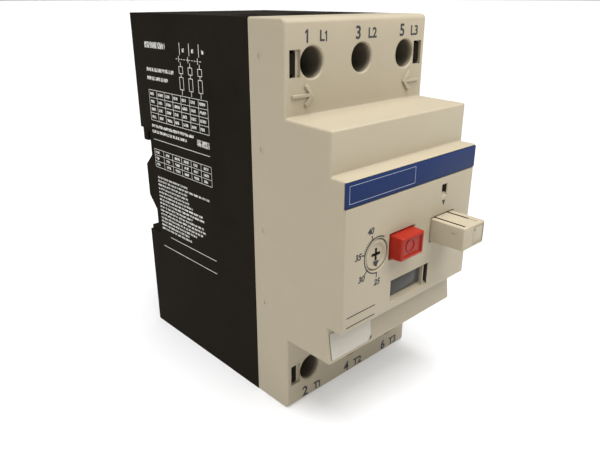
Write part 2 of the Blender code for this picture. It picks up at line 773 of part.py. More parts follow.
def build():
    for old in list(bpy.data.objects):
        bpy.data.objects.remove(old, do_unlink=True)
    rear_base()
    front_cover()
    label_band()
    marker_tag()
    window_plate()
    start_button()
    start_lock_tab()
    stop_button()
    current_dial()
    mechanism_frame()
    latch_pin()
    latch_lever()
    trip_bar()
    test_lever()
    start_spring()
    stop_spring()
    contact_carrier()
    carrier_spring()
    rail_latch()
    rail_latch_spring()
    for pole, x in enumerate(POLE_X, start=1):
        contact_bridge(pole, x)
        line_conductor(pole, x)
        contact_conductor(pole, x)
        arc_chute(pole, x)
        magnet_coil(pole, x)
        magnet_yoke(pole, x)
        magnet_plunger(pole, x)
        bimetal(pole, x)
        load_conductor(pole, x)
        terminal_cage(2 * pole - 1, x, TERMINAL_Z)
        terminal_screw(2 * pole - 1, x, TERMINAL_Z)
        terminal_cage(2 * pole, x, HEIGHT - TERMINAL_Z)
        terminal_screw(2 * pole, x, HEIGHT - TERMINAL_Z)


build()
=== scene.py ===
"""A three-pole motor protection breaker, dressed around its packed mechanical frame.

Places are given in millimetres as (x, depth, z): across the poles from the middle, forwards
from the rear plane, and up from the bottom.
"""
import math
import random

import bpy
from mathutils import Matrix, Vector


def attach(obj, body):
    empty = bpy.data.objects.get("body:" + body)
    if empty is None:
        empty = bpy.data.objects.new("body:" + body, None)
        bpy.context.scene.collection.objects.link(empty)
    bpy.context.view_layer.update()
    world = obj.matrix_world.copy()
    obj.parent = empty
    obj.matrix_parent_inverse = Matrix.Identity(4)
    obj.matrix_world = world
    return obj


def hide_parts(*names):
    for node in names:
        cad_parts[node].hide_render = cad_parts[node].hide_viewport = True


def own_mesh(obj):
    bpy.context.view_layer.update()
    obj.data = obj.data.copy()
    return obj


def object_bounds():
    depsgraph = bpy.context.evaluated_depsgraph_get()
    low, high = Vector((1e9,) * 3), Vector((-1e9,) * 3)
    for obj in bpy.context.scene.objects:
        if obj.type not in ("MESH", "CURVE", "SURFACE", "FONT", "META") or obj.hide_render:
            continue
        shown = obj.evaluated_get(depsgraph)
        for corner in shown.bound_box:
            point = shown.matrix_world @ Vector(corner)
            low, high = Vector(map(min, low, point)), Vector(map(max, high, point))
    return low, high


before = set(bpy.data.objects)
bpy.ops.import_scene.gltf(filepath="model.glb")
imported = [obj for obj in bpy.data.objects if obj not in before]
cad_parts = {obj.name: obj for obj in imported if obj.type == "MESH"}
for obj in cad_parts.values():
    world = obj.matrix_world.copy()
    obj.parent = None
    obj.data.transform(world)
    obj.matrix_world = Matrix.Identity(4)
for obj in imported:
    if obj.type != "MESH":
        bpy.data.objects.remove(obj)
cad_low, cad_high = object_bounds()


# ------------------------------------------------------------------ black base
# The deep rear moulding that carries every current path. It is one shot of black glass-filled
# plastic with flat sides, a channel across the back for the rail, and three chambers inside.

mm = 0.001
half_width = cad_high.x / mm
height = cad_high.z / mm
pole_pitch = 2 * half_width / 3
pole_places = [-pole_pitch, 0.0, pole_pitch]
upper_terminal_z = 110.3
terminal_places = [(x, z) for x in pole_places for z in (upper_terminal_z, height - upper_terminal_z)]
base_front = 65.85
base_wall = 2.0
inner_half = half_width - base_wall
print_thickness = 0.03
hook_half = 3.35
rail_seat = 4.6
channel_low, channel_high, groove_top = 42.5, 77.0, 80.5


def at(x, depth, z):
    """A point in metres from its place in millimetres."""
    return Vector((x * mm, cad_high.y - depth * mm, z * mm))


def deselect():
    """Leaves nothing selected, so that a new piece is the only one."""
    bpy.ops.object.select_all(action="DESELECT")


def settle():
    """Applies the active piece's place, turn and size to its mesh."""
    bpy.ops.object.transform_apply(location=True, rotation=True, scale=True)


def close_up():
    """Turns all faces of the mesh in edit mode outwards, and goes back to object mode."""
    bpy.ops.mesh.select_all(action="SELECT")
    bpy.ops.mesh.normals_make_consistent(inside=False)
    bpy.ops.object.mode_set(mode="OBJECT")


def take(piece):
    """Makes one piece the only one selected, in object mode."""
    deselect()
    piece.select_set(True)
    bpy.context.view_layer.objects.active = piece


def outline_solid(name, points, run):
    """A flat outline drawn point by point from one vertex, filled, and drawn out along run."""
    deselect()
    bpy.ops.mesh.primitive_plane_add(size=mm, location=points[0])
    piece = bpy.context.object
    piece.name = name
    settle()
    bpy.ops.object.mode_set(mode="EDIT")
    bpy.ops.mesh.merge(type="CENTER")
    for near, far in zip(points, points[1:]):
        bpy.ops.mesh.extrude_region_move(TRANSFORM_OT_translate={"value": far - near})
    bpy.ops.mesh.select_all(action="SELECT")
    bpy.ops.mesh.edge_face_add()
    bpy.ops.mesh.extrude_region_move(TRANSFORM_OT_translate={"value": run})
    close_up()
    return piece


def side_solid(name, outline, x_low, x_high):
    """A solid from an outline of (depth, z), drawn out across the poles."""
    points = [at(x_low, depth, z) for depth, z in outline]
    return outline_solid(name, points, at(x_high, 0, 0) - at(x_low, 0, 0))


def front_solid(name, outline, depth_low, depth_high):
    """A solid from an outline of (x, z), drawn out forwards."""
    points = [at(x, depth_low, z) for x, z in outline]
    return outline_solid(name, points, at(0, depth_high, 0) - at(0, depth_low, 0))


def block(name, x_range, depth_range, z_range):
    """A rectangular solid from its three ranges."""
    (depth_low, depth_high), (z_low, z_high) = depth_range, z_range
    corners = [(depth_low, z_low), (depth_high, z_low), (depth_high, z_high), (depth_low, z_high)]
    return side_solid(name, corners, min(x_range), max(x_range))


def carve(piece, tools, operation="DIFFERENCE"):
    """Cuts each tool from a piece, or joins it on, and throws the tool away."""
    for tool in tools:
        take(piece)
        step = piece.modifiers.new("carve", "BOOLEAN")
        step.operation = operation
        step.solver = "EXACT"
        step.object = tool
        bpy.ops.object.modifier_apply(modifier=step.name)
        bpy.data.objects.remove(tool, do_unlink=True)


def join_on(piece, tools):
    """Joins each tool on to a piece."""
    carve(piece, tools, "UNION")


def round_edges(piece, width, wanted=None, segments=3):
    """Rounds a piece's sharp edges, or those of them whose middle and direction are wanted."""
    take(piece)
    mesh = piece.data
    beside = {}
    for face in mesh.polygons:
        for key in face.edge_keys:
            beside.setdefault(key, []).append(face.normal)
    mesh.polygons.foreach_set("select", [False] * len(mesh.polygons))
    mesh.vertices.foreach_set("select", [False] * len(mesh.vertices))
    for edge in mesh.edges:
        near, far = (mesh.vertices[i].co for i in edge.vertices)
        normals = beside.get(edge.key, [])
        sharp = len(normals) == 2 and normals[0].angle(normals[1], 0) > math.radians(35)
        edge.select = sharp and (wanted is None or wanted((near + far) / 2, far - near))
    bpy.context.tool_settings.mesh_select_mode = (False, True, False)
    bpy.ops.object.mode_set(mode="EDIT")
    bpy.ops.mesh.bevel(offset=width * mm, segments=segments, profile=0.5, clamp_overlap=True)
    bpy.ops.object.mode_set(mode="OBJECT")
    bpy.context.tool_settings.mesh_select_mode = (True, False, False)


def link_nodes(tree, *pairs):
    """Links each pair of sockets in a node tree."""
    for source, target in pairs:
        tree.links.new(source, target)


def set_inputs(node, **values):
    """Sets a node's inputs by name, with underscores for spaces."""
    for label, value in values.items():
        node.inputs[label.replace("_", " ")].default_value = value
    return node


def add_node(tree, kind, operation=None, **values):
    """Adds a node, with its operation if it has one, and its inputs' values."""
    node = tree.nodes.new("ShaderNode" + kind)
    if operation:
        node.operation = operation
    return set_inputs(node, **values)


def multiply_node(tree):
    """Adds a mix of two colours that multiplies A by B."""
    node = tree.nodes.new("ShaderNodeMix")
    node.data_type = "RGBA"
    node.blend_type = "MULTIPLY"
    return set_inputs(node, Factor=1.0)


def new_group(name, inputs, outputs):
    """A shader node group with named float or colour sockets, and its two end nodes."""
    group = bpy.data.node_groups.new(name, "ShaderNodeTree")
    for label, kind, value in inputs:
        socket = group.interface.new_socket(name=label, in_out="INPUT", socket_type=kind)
        socket.default_value = value
    for label, kind in outputs:
        group.interface.new_socket(name=label, in_out="OUTPUT", socket_type=kind)
    return group, group.nodes.new("NodeGroupInput"), group.nodes.new("NodeGroupOutput")


def moulded_skin_group():
    """The skin of a moulded piece: spark-eroded grain, uneven gloss and a faint cloud of tone."""
    group, start, end = new_group(
        "moulded_skin",
        [("Colour", "NodeSocketColor", (0.5, 0.5, 0.5, 1)), ("Grain size", "NodeSocketFloat", 1500.0),
         ("Gloss", "NodeSocketFloat", 0.45), ("Gloss spread", "NodeSocketFloat", 0.1),
         ("Tone spread", "NodeSocketFloat", 0.1)],
        [("Colour", "NodeSocketColor"), ("Roughness", "NodeSocketFloat"), ("Height", "NodeSocketFloat")])
    place = add_node(group, "TexCoord")
    grain = add_node(group, "TexVoronoi", Randomness=1.0)
    fine = add_node(group, "TexNoise", Detail=3.0)
    cloud = add_node(group, "TexNoise", Scale=55.0, Detail=6.0, Roughness=0.6)
    height_mix = add_node(group, "Math", "MULTIPLY_ADD")
    height_mix.inputs[1].default_value = 0.6
    gloss = add_node(group, "MapRange", From_Min=0.3, From_Max=0.7)
    low = add_node(group, "Math", "SUBTRACT")
    high = add_node(group, "Math")
    tone = add_node(group, "MapRange", From_Min=0.25, From_Max=0.75)
    dim = add_node(group, "Math", "SUBTRACT")
    dim.inputs[0].default_value = 1.0
    lift = add_node(group, "Math")
    lift.inputs[0].default_value = 1.0
    shade = multiply_node(group)
    link_nodes(
        group,
        (place.outputs["Object"], grain.inputs["Vector"]),
        (place.outputs["Object"], fine.inputs["Vector"]),
        (place.outputs["Object"], cloud.inputs["Vector"]),
        (start.outputs["Grain size"], grain.inputs["Scale"]),
        (start.outputs["Grain size"], fine.inputs["Scale"]),
        (grain.outputs["Distance"], height_mix.inputs[0]),
        (fine.outputs["Fac"], height_mix.inputs[2]),
        (height_mix.outputs[0], end.inputs["Height"]),
        (start.outputs["Gloss"], low.inputs[0]),
        (start.outputs["Gloss spread"], low.inputs[1]),
        (start.outputs["Gloss"], high.inputs[0]),
        (start.outputs["Gloss spread"], high.inputs[1]),
        (cloud.outputs["Fac"], gloss.inputs["Value"]),
        (low.outputs[0], gloss.inputs["To Min"]),
        (high.outputs[0], gloss.inputs["To Max"]),
        (gloss.outputs["Result"], end.inputs["Roughness"]),
        (start.outputs["Tone spread"], dim.inputs[1]),
        (start.outputs["Tone spread"], lift.inputs[1]),
        (cloud.outputs["Fac"], tone.inputs["Value"]),
        (dim.outputs[0], tone.inputs["To Min"]),
        (lift.outputs[0], tone.inputs["To Max"]),
        (start.outputs["Colour"], shade.inputs["A"]),
        (tone.outputs["Result"], shade.inputs["B"]),
        (shade.outputs["Result"], end.inputs["Colour"]))
    return group


moulded_skin = moulded_skin_group()


def surfaced(name, group, strength, depth, **values):
    """A material with colour, roughness and bump from a node group; the bump in millimetres."""
    made = bpy.data.materials.new(name)
    made.use_nodes = True
    tree = made.node_tree
    shader = tree.nodes["Principled BSDF"]
    surface = tree.nodes.new("ShaderNodeGroup")
    surface.node_tree = group
    set_inputs(surface, **values)
    bump = add_node(tree, "Bump", Strength=strength, Distance=depth * mm)
    link_nodes(
        tree,
        (surface.outputs["Colour"], shader.inputs["Base Color"]),
        (surface.outputs["Roughness"], shader.inputs["Roughness"]),
        (surface.outputs["Height"], bump.inputs["Height"]),
        (bump.outputs["Normal"], shader.inputs["Normal"]))
    return made


def plastic(name, colour, gloss, grain_size=1400.0, grain_depth=0.012, tone_spread=0.05, specular=0.5):
    """A moulded plastic: its colour and gloss, how fine its grain is, and the grain's depth."""
    made = surfaced(name, moulded_skin, 0.6, grain_depth, Colour=(*colour, 1), Grain_size=grain_size,
                    Gloss=gloss, Gloss_spread=0.06, Tone_spread=tone_spread)
    set_inputs(made.node_tree.nodes["Principled BSDF"], Specular_IOR_Level=specular)
    return made


def finish(piece, paint, body, slot, *nodes, angle=30):
    """Paints and shades a finished piece, and puts it on its body in place of its CAD nodes."""
    piece.data.materials.clear()
    piece.data.materials.append(paint)
    take(piece)
    bpy.ops.object.mode_set(mode="EDIT")
    bpy.ops.mesh.select_all(action="SELECT")
    bpy.ops.mesh.remove_doubles(threshold=0.003 * mm)
    bpy.ops.object.mode_set(mode="OBJECT")
    bpy.ops.object.shade_smooth_by_angle(angle=math.radians(angle))
    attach(piece, body)
    if nodes:
        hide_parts(*nodes)


base_face = half_width - print_thickness
base = side_solid("base_case", [
    (0, 0), (base_front, 0), (base_front, height), (0, height), (0, channel_high),
    (3.0, channel_high), (3.0, groove_top), (4.5, groove_top), (4.5, channel_high),
    (rail_seat, channel_high), (rail_seat, 71.7), (0, 67.4), (0, 55.1), (rail_seat, 50.0),
    (rail_seat, channel_low), (0, channel_low)], -base_face, base_face)


def outer_base_edge(middle, run):
    """Edges along the sides of the base, and those across its top, bottom and back."""
    depth = (cad_high.y - middle.y) / mm
    in_groove = 1.0 < depth < 4.8 and channel_high - 0.5 < middle.z / mm < groove_top + 0.5
    return depth < base_front - 0.5 and not in_groove


round_edges(base, 0.5, outer_base_edge)
partition = 1.6
chamber_limits = [-inner_half, -pole_pitch / 2, pole_pitch / 2, inner_half]
chamber = [(12, 2.5), (67, 2.5), (67, height - 2.5), (3, height - 2.5), (3, 84), (12, 84)]
for pole in range(3):
    low = chamber_limits[pole] + (partition / 2 if pole > 0 else 0)
    high = chamber_limits[pole + 1] - (partition / 2 if pole < 2 else 0)
    carve(base, [side_solid("chamber", chamber, low, high)])
carve(base, [block("mechanism_room", (-inner_half, inner_half), (53.5, 67), (24.5, 96)),
             block("carrier_way", (-26, 26), (34, 56), (74.5, 84.5))])
for x in pole_places:
    for z_range in ((height - 4, height + 1), (-1, 4)):
        carve(base, [block("wire_entry", (x - 4.5, x + 4.5), (50, 56.3), z_range)])
for side in (-1, 1):
    step = block("side_step", (side * (half_width - 1), side * (half_width + 1)), (-1, 7.5), (41, 82))
    carve(base, [step])
carve(base, [block("latch_pocket", (-8.3, 8.3), (1.0, 4.3), (-1, channel_low + 1)),
             block("latch_mouth", (-6.3, 6.3), (-1, 1.2), (-1, channel_low + 1))])
for side in (-1, 1):
    join_on(base, [block("frame_rest", (side * 26.5, side * (inner_half + 0.5)), (11, 66.1), (62, 67))])
    for z in (upper_terminal_z, height - upper_terminal_z):
        root_x = (side * (inner_half - 2.5), side * (inner_half + 0.5))
        hook_x = (side * (inner_half - 2.3), side * (inner_half - 0.3))
        hook = block("hook", hook_x, (55, 80.4), (z - hook_half, z + hook_half))
        notches = []
        for notch_z in (z - hook_half, z + hook_half):
            corners = [(79.0, notch_z), (81.0, notch_z - 0.8), (81.0, notch_z + 0.8)]
            notches.append(side_solid("notch", corners, min(hook_x) - 1, max(hook_x) + 1))
        carve(hook, notches)
        root = block("hook_root", root_x, (40, 60), (z - hook_half, z + hook_half))
        join_on(base, [root, hook])
join_on(base, [block("spring_post", (5.1, 9.1), (11, 26), (77, 81)),
               block("latch_stop", (-2, 2), (1.8, 5), (13.5, 15.5))])

black_moulding = plastic("black_moulding", (0.013, 0.0105, 0.0075), 0.62, grain_size=1100.0,
                         tone_spread=0.2, specular=0.01)
finish(base, black_moulding, "housing", "black_plastic", "rear_base")


# ------------------------------------------------------------------ beige front cover
# A thin-walled moulding that closes the front. It steps from the two terminal decks up to the
# block and the panel with the controls, and four hooks of the base snap into its decks.

cover_rear = 66.15
deck, block_front, panel = 81.0, 98.5, 103.9
lower_step, upper_step = 26.2, 96.0
panel_low, panel_high = 38.2, 83.4
foot_depth, lip_depth = 99.6, 98.1
cover = side_solid("cover_shell", [
    (cover_rear, 0), (deck, 0), (deck, lower_step), (foot_depth, lower_step),
    (lip_depth, panel_low), (panel, panel_low), (panel, panel_high), (block_front, panel_high),
    (block_front, upper_step - 0.4), (deck, upper_step), (deck, height), (cover_rear, height)],
    -half_width, half_width)


def end_edge(middle, run):
    """The two front edges of the terminal decks at the very top and bottom."""
    at_end = middle.z > (height - 1) * mm or middle.z < 1 * mm
    return at_end and middle.y < at(0, deck - 1, 0).y


def cover_edge(middle, run):
    """Every outer edge of the cover but those of its open back."""
    return middle.y < at(0, cover_rear + 1, 0).y


round_edges(cover, 1.5, end_edge, segments=5)
round_edges(cover, 0.7, cover_edge, segments=4)
carve(cover, [side_solid("hollow", [
    (65, base_wall), (79, base_wall), (79, 28.2), (97.3, 28.2), (96.1, panel_low), (96.1, 40.2),
    (101.9, 40.2), (101.9, 81.4), (96.5, 81.4), (96.5, 93.6), (79, 94), (79, 120), (65, 120)],
    -inner_half, inner_half)])


def grown(name, x, z, half, steps, sides=64):
    """A plug grown forwards from a flat outline, round or with four sides. Each step is a depth
    and a margin, which is added there to the outline's two half sizes."""
    deselect()
    depth, margin = steps[0]
    if sides == 4:
        bpy.ops.mesh.primitive_plane_add(size=2, location=at(x, depth, z),
                                         rotation=(math.radians(90), 0, 0))
    else:
        bpy.ops.mesh.primitive_circle_add(vertices=sides, radius=1, fill_type="NGON",
                                          location=at(x, depth, z), rotation=(math.radians(90), 0, 0))
    piece = bpy.context.object
    piece.name = name
    piece.scale = ((half[0] + margin) * mm, (half[1] + margin) * mm, 1)
    settle()
    bpy.ops.object.mode_set(mode="EDIT")
    bpy.ops.mesh.select_all(action="SELECT")
    for further, wider in steps[1:]:
        bpy.ops.mesh.extrude_region_move(
            TRANSFORM_OT_translate={"value": at(0, further, 0) - at(0, depth, 0)})
        bpy.ops.transform.resize(value=((half[0] + wider) / (half[0] + margin), 1,
                                        (half[1] + wider) / (half[1] + margin)),
                                 center_override=at(x, further, z))
        depth, margin = further, wider
    close_up()
    return piece


def opening(x_range, z_range, face, through=4.0, flare=0.25):
    """The tool for a rectangular opening with a small break all round its mouth."""
    half = ((x_range[1] - x_range[0]) / 2, (z_range[1] - z_range[0]) / 2)
    return grown("opening", sum(x_range) / 2, sum(z_range) / 2, half,
                 [(face - through, 0), (face - flare, 0), (face + flare, 2 * flare)], sides=4)


access_radius = 4.3
access_hole = [(70, 0), (deck - 0.4, 0), (deck + 0.4, 0.8)]
join_on(cover, [grown("sleeve", x, z, (5.4, 5.4), [(71, 0), (deck - 1, 0)]) for x, z in terminal_places])
carve(cover, [grown("access", x, z, (access_radius, access_radius), access_hole)
              for x, z in terminal_places])
dial_x, dial_z = -16.65, 59.1
test_x = 14.8
carve(cover, [
    opening((8.75, 21.05), (55.4, 63.5), panel),
    opening((-11.3, 0.45), (55.6, 63.7), panel),
    opening((test_x - 1.25, test_x + 1.25), (69.6, 73.2), panel),
    opening((-9.35, 9.35), (40.85, 48.2), panel),
    grown("dial_hole", dial_x, dial_z, (4.9, 4.9), [(panel - 4, 0), (panel - 0.2, 0), (panel + 0.2, 0.3)])])
latch_window_half = 3.65
for side in (-1, 1):
    for z in (upper_terminal_z, height - upper_terminal_z):
        window = [(29.0, 78.3), (26.15, 78.3), (26.15, deck - 0.8), (24.95, deck - 0.8),
                  (24.95, deck + 1), (29.0, deck + 1)]
        corners = [at(side * x, depth, z - latch_window_half) for x, depth in window]
        upwards = Vector((0, 0, 2 * latch_window_half * mm))
        carve(cover, [outline_solid("latch_window", corners, upwards)])


def tag_outline(sink, proud, low=27.5, high=36.2):
    """The marker tag's outline from the side, on the slanted foot under the panel."""
    slope = (lip_depth - foot_depth) / (panel_low - lower_step)
    at_low = foot_depth + slope * (low - lower_step)
    at_high = foot_depth + slope * (high - lower_step)
    return [(at_low - sink, low), (at_low + proud, low), (at_high + proud, high), (at_high - sink, high)]


carve(cover, [block("band_bed", (-32, 32), (panel - 0.5, panel + 1), (75.7, 83.1)),
              side_solid("tag_bed", tag_outline(0.6, 2), -29.9, -11.7)])
join_on(cover, [
    side_solid("window_sill", [(panel - 1.95, 40.05), (panel - 0.2, 40.05), (panel - 0.2, 40.9),
                               (panel - 1.95, 41.9)], -9.6, 9.6),
    block("window_rib", (6.95, 7.45), (panel - 1.9, panel - 0.4), (40.5, 49.0)),
    block("slot_ledge", (test_x - 1.4, test_x + 1.4), (panel - 1.8, panel - 0.35), (69.2, 70.4))])


def across_pin(radius, length, vertices, place):
    """A round tool that lies across the poles; its sizes in millimetres."""
    deselect()
    bpy.ops.mesh.primitive_cylinder_add(vertices=vertices, radius=radius * mm, depth=length * mm,
                                        location=place, rotation=(0, math.radians(90), 0))
    settle()
    return bpy.context.object


ejector_depth = 70.9
for z in (111.8, 85.7, 60.5, 35.8):
    carve(cover, [across_pin(0.9, 0.3, 32, at(-half_width, ejector_depth, z))])
arrow_z = 101.7


def arrow(side):
    """A raised arrow on the deck that points in from one side of the cover."""
    line, tip, tail = 0.5, side * (half_width - 10.5), side * (half_width - 2.5)
    inward = -side
    z = arrow_z
    back = tip - inward * 2.9
    shape = [(tail, z - line), (tip - inward * 1.7, z - line), (back - inward * 0.5, z - 2.45),
             (back + inward * 0.4, z - 3.25), (tip + inward * 0.3, z), (back + inward * 0.4, z + 3.25),
             (back - inward * 0.5, z + 2.45), (tip - inward * 1.7, z + line), (tail, z + line)]
    return front_solid("arrow", shape, deck - 0.3, deck + 0.6)


def arrow_edge(middle, run):
    """The front edges of an arrow, and those that run forwards."""
    return middle.y < at(0, deck + 0.2, 0).y or abs(run.y) > 0.3 * mm


for side in (-1, 1):
    mark = arrow(side)
    round_edges(mark, 0.15, arrow_edge, segments=2)
    join_on(cover, [mark])
beige_moulding = plastic("beige_moulding", (0.352, 0.304, 0.218), 0.45, grain_size=1700.0,
                         grain_depth=0.008, tone_spread=0.03, specular=0.28)
finish(cover, beige_moulding, "housing", "beige_plastic", "front_cover")


def darkened(name, paint, rim, deep, darkest):
    """A paint that darkens between two depths: painted shade on the walls of a deep narrow hole, darker the
    deeper in.
    """
    made = paint.copy()
    made.name = name
    tree = made.node_tree
    shader = tree.nodes["Principled BSDF"]
    colour = shader.inputs["Base Color"].links[0].from_socket
    place = add_node(tree, "TexCoord")
    split = add_node(tree, "SeparateXYZ")
    fade = add_node(tree, "MapRange", From_Min=at(0, rim, 0).y, From_Max=at(0, deep, 0).y,
                    To_Min=1.0, To_Max=darkest)
    # Painted shade: the colour is multiplied down with depth into the hole.
    shade_multiply = multiply_node(tree)
    link_nodes(
        tree,
        (place.outputs["Object"], split.inputs["Vector"]), (split.outputs["Y"], fade.inputs["Value"]),
        (colour, shade_multiply.inputs["A"]), (fade.outputs["Result"], shade_multiply.inputs["B"]),
        (shade_multiply.outputs["Result"], shader.inputs["Base Color"]))
    return made


def paint_hollow(piece, paint, wanted):
    """Gives some faces of a piece a second paint, chosen by the x, depth and height of their middle."""
    piece.data.materials.append(paint)
    for face in piece.data.polygons:
        middle = face.center
        if wanted(middle.x / mm, (cad_high.y - middle.y) / mm, middle.z / mm):
            face.material_index = len(piece.data.materials) - 1


# Painted shade: the test slot's walls, the window opening's right wall and the access bores are painted
# darker with depth, for the shade inside them.
slot_painted_shade = darkened("slot_painted_shade", beige_moulding, 0, 1, 0.12)
bore_painted_shade = darkened("bore_painted_shade", beige_moulding, deck - 0.2, deck - 2.2, 0.3)
paint_hollow(cover, slot_painted_shade, lambda x, depth, z: abs(x - test_x) < 1.35 and 70.45 < z < 73.3
             and depth < panel - 0.3)
paint_hollow(cover, slot_painted_shade, lambda x, depth, z: 9.2 < x < 9.5 and 40.95 < z < 48.3
             and panel - 4.1 < depth < panel - 0.3)
paint_hollow(cover, bore_painted_shade, lambda x, depth, z: depth < deck - 0.2 and any(
    math.hypot(x - hole_x, z - hole_z) < access_radius + 0.1 for hole_x, hole_z in terminal_places))


# ------------------------------------------------------------------ printed marks
# Terminal numbers, the dial's scale and the small signs are pad-printed in dark ink. On the black
# side the ink is white. Every mark is a film a few hundredths of a millimetre thick.


def ink(name, colour):
    """Pad-printing ink: matt, with the faint unevenness of a printed film."""
    return plastic(name, colour, 0.62, grain_size=900.0, grain_depth=0.004, tone_spread=0.18)


dark_ink = ink("dark_ink", (0.013, 0.013, 0.021))
white_ink = ink("white_ink", (0.62, 0.61, 0.58))


capital_share = 0.69


def film(shape, depth):
    """A mark of ink on a face that looks forwards, from an outline of (x, z)."""
    return front_solid("mark", shape, depth, depth + print_thickness)


def printed_text(words, x, z, depth, size, slant=0.0, weight=0.035):
    """A few printed characters on a face that looks forwards; size is a capital's height."""
    deselect()
    bpy.ops.object.text_add(location=(0, 0, 0))
    mark = bpy.context.object
    mark.data.body = words
    mark.data.align_x = "CENTER"
    mark.data.align_y = "CENTER"
    mark.data.size = size * mm / capital_share
    mark.data.extrude = print_thickness / 2 * mm
    mark.data.shear = slant
    mark.data.offset = weight * size * mm
    bpy.ops.object.convert(target="MESH")
    mark = bpy.context.object
    mark.rotation_euler = (math.radians(90), 0, 0)
    mark.location = at(x, depth + print_thickness / 2, z)
    settle()
    bpy.ops.object.mode_set(mode="EDIT")
    bpy.ops.mesh.select_all(action="SELECT")
    bpy.ops.mesh.remove_doubles(threshold=0.0005 * mm)
    close_up()
    return mark


def joined(name, pieces):
    """Several loose marks made into one piece."""
    take(pieces[0])
    for piece in pieces[1:]:
        piece.select_set(True)
    bpy.ops.object.join()
    bpy.context.object.name = name
    return bpy.context.object


def printed_one(x, z, depth, size):
    """A figure one with a flag, centred on a place."""
    shape = [(0.09, -0.5), (0.09, 0.5), (-0.05, 0.5), (-0.24, 0.32), (-0.24, 0.18), (-0.08, 0.28),
             (-0.08, -0.5)]
    shape = [(x + across * size, z + up * size) for across, up in shape]
    return film(shape, depth)


marks = []
for pole, x in enumerate(pole_places):
    start = x - pole_pitch / 2
    for letter, figure, z in (("L", 2 * pole + 1, 117.25), ("T", 2 * pole + 2, 2.95)):
        figure_x, letter_x = (8.3, 14.6) if letter == "L" else (8.0, 13.9)
        if figure == 1:
            marks.append(printed_one(start + figure_x, z, deck, 3.5))
        else:
            marks.append(printed_text(str(figure), start + figure_x, z, deck, 3.5))
        if pole == 0:
            marks.append(printed_text(letter, start + letter_x - 0.75, z - 0.25, deck, 2.8))
            marks.append(printed_one(start + letter_x + 1.0, z - 0.25, deck, 2.8))
        else:
            words = f"{letter}{pole + 1}"
            marks.append(printed_text(words, start + letter_x, z - 0.25, deck, 2.8))
terminal_marks = joined("terminal_marks", marks)
finish(terminal_marks, dark_ink, "housing", "black_plastic")

scale_radius = 5.35


def scale_point(angle, radius):
    """A point around the dial, its angle in degrees from the right, anticlockwise."""
    turn = math.radians(angle)
    return dial_x + radius * math.cos(turn), dial_z + radius * math.sin(turn)


def scale_arc(first, last, inner, outer, steps=48):
    """A printed arc or tick around the dial between two angles and two radii."""
    angles = [first + (last - first) * i / steps for i in range(steps + 1)]
    shape = [scale_point(a, outer) for a in angles] + [scale_point(a, inner) for a in reversed(angles)]
    return film(shape, panel)


def tick(angle, inner, outer, width):
    """A straight tick across the scale's line."""
    turn = math.radians(angle)
    along, across = (math.cos(turn), math.sin(turn)), (-math.sin(turn), math.cos(turn))
    shape = []
    for reach, side in ((inner, -1), (outer, -1), (outer, 1), (inner, 1)):
        shape.append((dial_x + along[0] * reach + across[0] * side * width / 2,
                      dial_z + along[1] * reach + across[1] * side * width / 2))
    return film(shape, panel)


marks = [scale_arc(270, 60, scale_radius, scale_radius + 0.38)]
for angle in (270, 221, 166, 113):
    marks.append(tick(angle, scale_radius, scale_radius + 1.7, 0.4))
for step in range(1, 9):
    marks.append(tick(113 + step * 53 / 9, scale_radius, scale_radius + 0.9, 0.22))
for words, x, z in (("40", 10.7, 67.0), ("35", 5.8, 60.6), ("30", 7.5, 53.4), ("25", 14.4, 50.4)):
    marks.append(printed_text(words, x - half_width, z, panel, 1.8, slant=0.2, weight=0.05))
test_sign = [(test_x - 0.9, 68.1), (test_x + 0.9, 68.1), (test_x, 66.4)]
marks.append(film(test_sign, panel))
rule_left, rule_right, rule_half = 1.9 - half_width, 14.2 - half_width, 0.16
for z in (43.1, 40.0):
    marks.append(film([(rule_left, z - rule_half), (rule_right, z - rule_half),
                       (rule_right, z + rule_half), (rule_left, z + rule_half)], panel))
panel_marks = joined("panel_marks", marks)
finish(panel_marks, dark_ink, "housing", "black_plastic")


# ------------------------------------------------------------------ print on the black side
# The maker's data is printed in white on the left side of the base. Here it is only lines, empty
# tables and rows of broken strokes that spell nothing, laid out as such a rating plate is.

print_rows = random.Random(7)


def side_print(name, rectangles):
    """A film of ink on the base's left side, from (depth, z) rectangles."""
    deselect()
    first = True
    for depth_low, depth_high, z_low, z_high in rectangles:
        centre = at(-base_face, (depth_low + depth_high) / 2, (z_low + z_high) / 2)
        bpy.ops.mesh.primitive_plane_add(size=mm, location=centre, rotation=(0, math.radians(90), 0))
        if first:
            sheet = bpy.context.object
            sheet.name = name
            settle()
            bpy.ops.object.mode_set(mode="EDIT")
            bpy.ops.mesh.select_all(action="SELECT")
            first = False
        bpy.ops.transform.resize(value=(1, depth_high - depth_low, z_high - z_low),
                                 center_override=centre)
    bpy.ops.mesh.select_all(action="SELECT")
    bpy.ops.mesh.extrude_region_move(
        TRANSFORM_OT_translate={"value": (-print_thickness * mm, 0, 0)})
    close_up()
    return sheet


def strokes(start, end, z, size, longest=3.2):
    """One row of word-long strokes between two depths, standing on height z."""
    row = []
    depth = start
    while depth < end:
        word = min(print_rows.uniform(0.8, longest), end - depth)
        if word > 0.4:
            row.append((depth, depth + word, z, z + size))
        depth += word + 0.45
    return row


def table(depths, heights, line=0.16):
    """The ruled lines of a table through the given depths and heights."""
    rules = [(d - line / 2, d + line / 2, heights[0], heights[-1]) for d in depths]
    return rules + [(depths[0], depths[-1], z - line / 2, z + line / 2) for z in heights]


def spread(first, last, count):
    """Evenly spaced values from first to last."""
    return [first + (last - first) * i / count for i in range(count + 1)]


